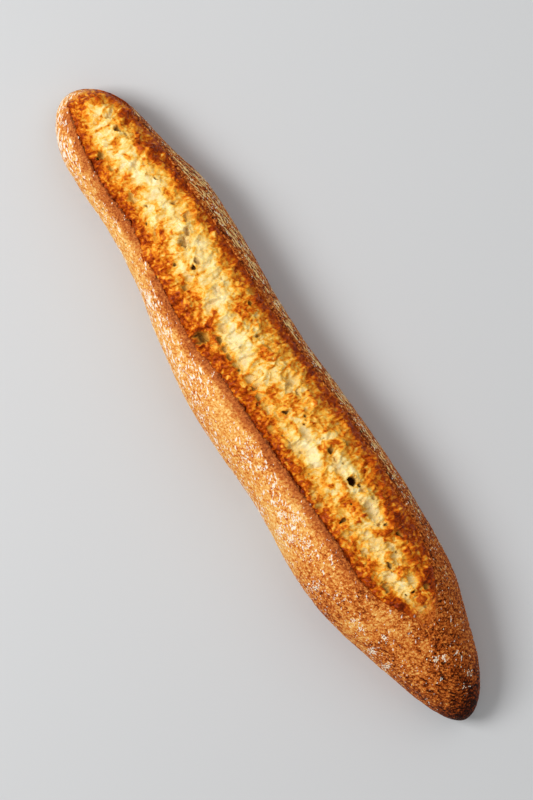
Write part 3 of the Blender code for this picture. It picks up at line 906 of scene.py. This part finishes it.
def flour_tree(material):
    """Scatters flattened grains over a surface, by its own dusting attribute."""
    tree = bpy.data.node_groups.new("flour grains", "GeometryNodeTree")
    tree.interface.new_socket("Surface", in_out="INPUT", socket_type="NodeSocketGeometry")
    sizes = (("Grains to the square metre", "Float"), ("Grain radius", "Float"), ("Seed", "Int"))
    for name, kind in sizes:
        tree.interface.new_socket(name, in_out="INPUT", socket_type="NodeSocket" + kind)
    tree.interface.new_socket("Grains", in_out="OUTPUT", socket_type="NodeSocketGeometry")
    maker = Maker(tree)
    given = maker.add("NodeGroupInput").outputs
    dusting = maker.add("GeometryNodeInputNamedAttribute", {"Name": "dusting"}).outputs["Attribute"]
    density = maker.math("MULTIPLY", dusting, given["Grains to the square metre"])
    strewn = maker.add(
        "GeometryNodeDistributePointsOnFaces",
        {"Mesh": given["Surface"], "Density": density, "Seed": given["Seed"]},
    ).outputs
    grain = maker.add(
        "GeometryNodeMeshIcoSphere", {"Radius": given["Grain radius"], "Subdivisions": 1}
    ).outputs[0]
    slant = maker.add(
        "FunctionNodeAlignRotationToVector",
        {"Rotation": strewn["Rotation"], "Vector": GRAINS_LIE},
        axis="X",
        pivot_axis="Z",
    ).outputs[0]
    smallest, largest = GRAIN_SIZES
    scales = maker.add(
        "FunctionNodeRandomValue",
        {0: smallest, 1: largest, "Seed": given["Seed"]},
        data_type="FLOAT_VECTOR",
    ).outputs[0]
    placed = maker.add(
        "GeometryNodeInstanceOnPoints",
        {"Points": strewn["Points"], "Instance": grain, "Rotation": slant, "Scale": scales},
    ).outputs[0]
    real = maker.add("GeometryNodeRealizeInstances", {0: placed}).outputs[0]
    finished = maker.add("GeometryNodeSetMaterial", {"Geometry": real, "Material": material})
    maker.add("NodeGroupOutput", {"Grains": finished.outputs[0]})
    return tree


def flour(surface, material):
    """Loose grains of flour over a dusted piece, as one plain mesh."""
    tree = flour_tree(material)
    dusted = bpy.data.objects.new("dusted surface", surface.data)
    bpy.context.collection.objects.link(dusted)
    modifier = dusted.modifiers.new("flour", "NODES")
    modifier.node_group = tree
    given = {item.name: item.identifier for item in tree.interface.items_tree}
    modifier[given["Grains to the square metre"]] = FLOUR_DENSITY
    modifier[given["Grain radius"]] = GRAIN_RADIUS * MM
    modifier[given["Seed"]] = SEED
    graph = bpy.context.evaluated_depsgraph_get()
    mesh = bpy.data.meshes.new_from_object(dusted.evaluated_get(graph))
    dusted.modifiers.remove(modifier)
    bpy.data.objects.remove(dusted)
    mesh.name = "flour"
    piece = bpy.data.objects.new("flour", mesh)
    bpy.context.collection.objects.link(piece)
    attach(piece, "root")
    return piece


# ---- materials ----

def srgb(red, green, blue):
    """A colour given as 0-255 screen values, as linear light."""
    values = (value / 255 for value in (red, green, blue))
    return (*(v / 12.92 if v <= 0.04045 else ((v + 0.055) / 1.055) ** 2.4 for v in values), 1)


# Colour by how toasted the crumb is, and by how baked the crust is.
CRUMB_COLOURS = (
    (0.00, srgb(255, 238, 186)), (0.14, srgb(252, 220, 140)), (0.30, srgb(246, 184, 66)),
    (0.46, srgb(230, 132, 22)), (0.64, srgb(190, 80, 7)), (0.82, srgb(132, 42, 3)),
    (1.00, srgb(66, 18, 2)),
)
CRUST_COLOURS = (
    (0.00, srgb(254, 214, 136)), (0.20, srgb(240, 170, 82)), (0.42, srgb(210, 110, 40)),
    (0.62, srgb(158, 70, 16)), (0.80, srgb(98, 34, 5)), (1.00, srgb(34, 8, 1)),
)
# Painted shade: an olive tint for shade in shallow cells, and a dark brown for deep holes.
CAVITY_SHADE = srgb(190, 138, 54)
PORE_SHADE = srgb(70, 38, 12)
LIP_BROWN = srgb(140, 66, 30)
LIP_RED = srgb(198, 116, 62)
# A painted highlight for the crust's grain.
GLINT = srgb(226, 140, 66)
FLOUR_WHITE = srgb(254, 246, 228)
FLOUR_CREAM = srgb(255, 216, 142)
FLOUR_SHADE = srgb(246, 224, 186)
UNDER_PALE = srgb(204, 136, 72)
UNDER_BROWN = srgb(142, 76, 32)
STAGE_GREY = srgb(207, 208, 209)

# Scales of the materials' noise, in waves to the metre.
FINE, TINY, HATCH, GLINTS, SCORCH = 840, 1400, 1100, 1150, 95
BLOTCH, CRUMB_GRAIN, FLOUR_CLUMP = 520, 1300, 900

# Flecks and dashes of flour on the crust: turn, stretch, fineness, the field they follow, softness.
MARKS = ((-38, 2.3, 560, "Flour", 0.05), (16, 4.4, 740, "Dashes", 0.045))
CRUST_FIELDS = ("Bake", "Grain", "Lip", "Flour", "Dashes", "Under")


class Maker:
    """Adds nodes to one tree. A value given for an input is set, and a socket is linked.

    Inputs that share a name with others on their node are given by their place in its list.
    """

    def __init__(self, tree):
        self.tree = tree

    def add(self, kind, inputs=(), **settings):
        made = self.tree.nodes.new(kind)
        for name, value in settings.items():
            setattr(made, name, value)
        for key, value in dict(inputs).items():
            if isinstance(value, bpy.types.NodeSocket):
                self.tree.links.new(value, made.inputs[key])
            else:
                made.inputs[key].default_value = value
        return made

    def field(self, name):
        """The piece's own value of this name."""
        return self.add("ShaderNodeAttribute", attribute_name=name).outputs["Fac"]

    def math(self, operation, a, b=0.5, clamp=False):
        settings = {"operation": operation, "use_clamp": clamp}
        return self.add("ShaderNodeMath", {0: a, 1: b}, **settings).outputs[0]

    def blend(self, factor, a, b):
        return self.add("ShaderNodeMix", {0: factor, 6: a, 7: b}, data_type="RGBA").outputs[2]

    def noise(self, vector, scale, detail=2.0):
        inputs = {"Vector": vector, "Scale": scale, "Detail": detail, "Roughness": 0.6}
        return self.add("ShaderNodeTexNoise", inputs).outputs[0]

    def stretched(self, vector, turn, stretch):
        """Space stretched so many times along one direction, turned from the X axis towards Y."""
        turned = (0, 0, math.radians(turn))
        inputs = {"Vector": vector, "Rotation": turned, "Scale": (stretch, 1, 1)}
        return self.add("ShaderNodeMapping", inputs, vector_type="TEXTURE").outputs[0]

    def varied(self, level, *parts):
        """The level plus each texture, centred on nothing, times its strength."""
        for texture, strength in parts:
            centred = self.math("SUBTRACT", texture)
            level = self.math("ADD", level, self.math("MULTIPLY", centred, strength))
        return level

    def ramp(self, factor, stops):
        made = self.add("ShaderNodeValToRGB", {0: factor})
        elements = made.color_ramp.elements
        while len(elements) < len(stops):
            elements.new(0.5)
        for element, (position, colour) in zip(elements, stops):
            element.position = position
            element.color = colour
        return made.outputs[0]

    def range(self, value, low, high, to_low=0.0, to_high=1.0):
        made = self.add("ShaderNodeMapRange", {0: value, 1: low, 2: high, 3: to_low, 4: to_high})
        return made.outputs[0]


def add_bump(maker, shader, height, strength, distance):
    """Fine relief through the shader's normal, distance in metres."""
    inputs = {"Strength": strength, "Distance": distance, "Height": height}
    bump = maker.add("ShaderNodeBump", inputs).outputs[0]
    maker.tree.links.new(bump, shader.inputs["Normal"])


def new_material(name):
    material = bpy.data.materials.new(name)
    material.use_nodes = True
    return material, Maker(material.node_tree), material.node_tree.nodes["Principled BSDF"]


def new_group(name, inputs, outputs):
    group = bpy.data.node_groups.new(name, "ShaderNodeTree")
    for way, sockets in (("INPUT", inputs), ("OUTPUT", outputs)):
        for socket, kind in sockets:
            group.interface.new_socket(socket, in_out=way, socket_type="NodeSocket" + kind)
    maker = Maker(group)
    return group, maker, maker.add("NodeGroupInput").outputs


def speckle_group():
    """Soft-edged marks from noise: more of them as Amount goes from 0 to 1 and beyond."""
    inputs = (("Vector", "Vector"), ("Scale", "Float"), ("Amount", "Float"), ("Softness", "Float"))
    group, maker, given = new_group("speckle", inputs, (("Mask", "Float"),))
    noise = maker.noise(given["Vector"], given["Scale"])
    fewest, most = 0.78, 0.52
    threshold = maker.add(
        "ShaderNodeMapRange", {0: given["Amount"], 3: fewest, 4: most}, clamp=False
    ).outputs[0]
    above = maker.math("SUBTRACT", noise, threshold)
    mask = maker.math("DIVIDE", above, given["Softness"], clamp=True)
    maker.add("NodeGroupOutput", {0: mask})
    return group


def place_group(maker, group, **inputs):
    return maker.add("ShaderNodeGroup", inputs, node_tree=group).outputs


def crust_group(speckle):
    """The crust's colour and fine relief, from how baked, pebbled and floured it is."""
    inputs = (("Vector", "Vector"), *((name, "Float") for name in CRUST_FIELDS))
    outputs = (("Color", "Color"), ("Height", "Float"))
    group, maker, given = new_group("baked crust", inputs, outputs)
    place = given["Vector"]
    fine, tiny = maker.noise(place, FINE, 3.0), maker.noise(place, TINY)
    hatch = maker.noise(maker.stretched(place, 90, 5.0), HATCH)

    strength = maker.range(given["Bake"], 0.15, 0.5, 0.38, 0.60)
    pits = maker.math("MULTIPLY", maker.math("SUBTRACT", 0.5, given["Grain"]), strength)
    level = maker.math("ADD", given["Bake"], pits)
    level = maker.math("ADD", level, maker.math("MULTIPLY", given["Lip"], 0.30))
    grit = maker.varied(0.0, (fine, 1.15), (tiny, 0.85))
    grit = maker.math("MULTIPLY", grit, maker.range(given["Bake"], 0.18, 0.42, 0.55, 1.0))
    level = maker.varied(maker.math("ADD", level, grit), (hatch, 0.30))
    colour = maker.ramp(level, CRUST_COLOURS)

    shade = maker.varied(0.5, (hatch, 2.2), (tiny, 1.2), (fine, 1.2))
    lip = maker.blend(maker.math("MULTIPLY", shade, 1.0, clamp=True), LIP_RED, LIP_BROWN)
    colour = maker.blend(maker.math("MULTIPLY", given["Lip"], 0.50), colour, lip)
    scorch = maker.varied(maker.noise(place, SCORCH, 5.0), (fine, 0.9), (tiny, 0.7))
    under = maker.blend(maker.range(scorch, 0.36, 0.64), UNDER_PALE, UNDER_BROWN)
    colour = maker.blend(given["Under"], colour, under)

    # Painted highlights: lighter specks on the browner parts of the crust.
    glints = maker.range(maker.noise(place, GLINTS), 0.60, 0.68)
    glints = maker.math("MULTIPLY", glints, maker.range(given["Bake"], 0.34, 0.50, 0.0, 0.80))
    glints = maker.math("MULTIPLY", glints, maker.range(given["Bake"], 0.62, 0.80, 1.0, 0.1))
    colour = maker.blend(glints, colour, GLINT)

    flecks, dashes = (
        place_group(
            maker,
            speckle,
            Vector=maker.stretched(place, turn, stretch),
            Scale=fineness,
            Amount=given[field],
            Softness=softness,
        )["Mask"]
        for turn, stretch, fineness, field, softness in MARKS
    )
    colour = maker.blend(maker.math("MULTIPLY", dashes, 0.95), colour, FLOUR_CREAM)
    colour = maker.blend(maker.math("MULTIPLY", flecks, 0.90), colour, FLOUR_WHITE)
    height = maker.varied(
        given["Grain"], (fine, 1.3), (tiny, 0.7), (flecks, 0.3), (dashes, 0.3)
    )
    maker.add("NodeGroupOutput", {"Color": colour, "Height": height})
    return group


def crust_material(baked):
    material, maker, shader = new_material("floured crust")
    place = maker.add("ShaderNodeTexCoord").outputs["Object"]
    fields = {name: maker.field(name.lower()) for name in CRUST_FIELDS}
    finish = place_group(maker, baked, Vector=place, **fields)
    maker.tree.links.new(finish["Color"], shader.inputs["Base Color"])
    shader.inputs["Roughness"].default_value = 0.55
    shader.inputs["Specular IOR Level"].default_value = 0.04
    add_bump(maker, shader, finish["Height"], 0.55, 0.0005)
    return material


def crumb_material(baked):
    material, maker, shader = new_material("torn crumb")
    place = maker.add("ShaderNodeTexCoord").outputs["Object"]
    blotch, grain = maker.noise(place, BLOTCH, 3.0), maker.noise(place, CRUMB_GRAIN)
    toast_and_shade = maker.field("toast_and_shade")
    mottled = maker.range(toast_and_shade, 0.10, 0.50, 0.22, 0.58)
    mottle = maker.math("MULTIPLY", maker.math("SUBTRACT", blotch), mottled)
    level = maker.varied(maker.math("ADD", toast_and_shade, mottle), (grain, 0.18))
    colour = maker.ramp(level, CRUMB_COLOURS)
    # Painted shade in the cells, as strong as the dark field says: olive where shallow, dark brown
    # where deep.
    dark = maker.field("dark")
    colour = maker.blend(maker.range(dark, 0.0, 0.6, 0.0, 0.75), colour, CAVITY_SHADE)
    colour = maker.blend(maker.range(dark, 0.45, 1.0, 0.0, 0.95), colour, PORE_SHADE)
    bake = maker.field("bake")
    finish = place_group(maker, baked, Vector=place, Bake=bake, Grain=0.5, Flour=0.35)
    colour = maker.blend(maker.field("crusty"), colour, finish["Color"])
    maker.tree.links.new(colour, shader.inputs["Base Color"])
    gloss = maker.range(level, 0.25, 0.7, 0.60, 0.30)
    maker.tree.links.new(gloss, shader.inputs["Roughness"])
    shader.inputs["Specular IOR Level"].default_value = 0.06
    shader.inputs["Subsurface Weight"].default_value = 0.15
    shader.inputs["Subsurface Radius"].default_value = (1.0, 0.6, 0.3)
    shader.inputs["Subsurface Scale"].default_value = 0.0015
    height = maker.varied(0.5, (grain, 0.6), (blotch, 1.0))
    add_bump(maker, shader, height, 0.35, 0.0004)
    return material


def flour_material():
    material, maker, shader = new_material("dry flour")
    place = maker.add("ShaderNodeTexCoord").outputs["Object"]
    clump = maker.noise(place, FLOUR_CLUMP)
    colour = maker.blend(maker.range(clump, 0.35, 0.65), FLOUR_WHITE, FLOUR_SHADE)
    maker.tree.links.new(colour, shader.inputs["Base Color"])
    shader.inputs["Roughness"].default_value = 0.9
    shader.inputs["Specular IOR Level"].default_value = 0.1
    return material


def stage_material():
    material, _, shader = new_material("pale floor")
    shader.inputs["Base Color"].default_value = STAGE_GREY
    shader.inputs["Roughness"].default_value = 0.8
    shader.inputs["Specular IOR Level"].default_value = 0.2
    return material


# ---- the studio ----

VIEW_RIGHT = Vector((0.530, 0.848, 0.0))
VIEW_UP = Vector((-0.848, 0.530, 0.0))
CAMERA_HEIGHT = 1.6
VIEW_HEIGHT = 0.430  # what the view's long side takes in, in metres, at WIDEST_HEIGHT
WIDEST_HEIGHT = 0.020  # of the loaf's widest line
VIEW_MIDDLE = (-0.0032, 0.0020)  # from the middle of the loaf, right and up
SENSOR = 36.0
# Name, place to the right and up, distance, height, size and power of each lamp.
LAMPS = (("key", (-1.0, 0.15), 1.1, 1.3, 0.75, 22), ("fill", (0.6, 0.6), 0.9, 1.3, 1.2, 4))
SKY_STRENGTH = 0.36
FLOOR_REACH = 3.0


def camera():
    """Looks straight down, with the loaf lying from the upper left to the lower right."""
    data = bpy.data.cameras.new("camera")
    data.sensor_width = SENSOR
    data.lens = SENSOR * (CAMERA_HEIGHT - WIDEST_HEIGHT) / VIEW_HEIGHT
    data.clip_end = 20
    low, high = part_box("baguette")
    s = Sections(np.linspace(-199, 199, 400))
    own_middle = Vector((0, (s.minus.min() + s.plus.max()) / 2 * MM, 0))
    right, up = VIEW_MIDDLE
    aim = (low + high) / 2 - own_middle + VIEW_RIGHT * right + VIEW_UP * up
    turned = Matrix((VIEW_RIGHT, VIEW_UP, VIEW_RIGHT.cross(VIEW_UP))).transposed()
    seat = bpy.data.objects.new("camera", data)
    seat.matrix_world = Matrix.Translation((aim.x, aim.y, CAMERA_HEIGHT)) @ turned.to_4x4()
    bpy.context.collection.objects.link(seat)
    bpy.context.scene.camera = seat


def lamp(name, right_up, distance, height, size, power):
    """A soft white lamp that faces the loaf."""
    data = bpy.data.lights.new(name, "AREA")
    data.size = size
    data.energy = power
    toward = VIEW_RIGHT * right_up[0] + VIEW_UP * right_up[1]
    spot = toward.normalized() * distance + Vector((0, 0, height))
    facing = (-spot).to_track_quat("-Z", "Y").to_matrix().to_4x4()
    made = bpy.data.objects.new(name, data)
    made.matrix_world = Matrix.Translation(spot) @ facing
    bpy.context.collection.objects.link(made)


def studio():
    """Two lamps, a plain white sky and a plain pale floor."""
    for row in LAMPS:
        lamp(*row)
    world = bpy.data.worlds.new("studio")
    world.use_nodes = True
    background = world.node_tree.nodes["Background"]
    background.inputs["Color"].default_value = (1, 1, 1, 1)
    background.inputs["Strength"].default_value = SKY_STRENGTH
    bpy.context.scene.world = world
    bpy.context.scene.view_settings.view_transform = "Standard"
    mesh = bpy.data.meshes.new("floor")
    signs = ((-1, -1), (1, -1), (1, 1), (-1, 1))
    corners = [(FLOOR_REACH * x, FLOOR_REACH * y, 0) for x, y in signs]
    mesh.from_pydata(corners, [], [(0, 1, 2, 3)])
    mesh.materials.append(stage_material())
    floor = bpy.data.objects.new("floor", mesh)
    bpy.context.collection.objects.link(floor)


def main():
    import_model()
    camera()
    baked = crust_group(speckle_group())
    shell = crust(crust_material(baked))
    crumb(crumb_material(baked))
    flour(shell, flour_material())
    studio()


main()
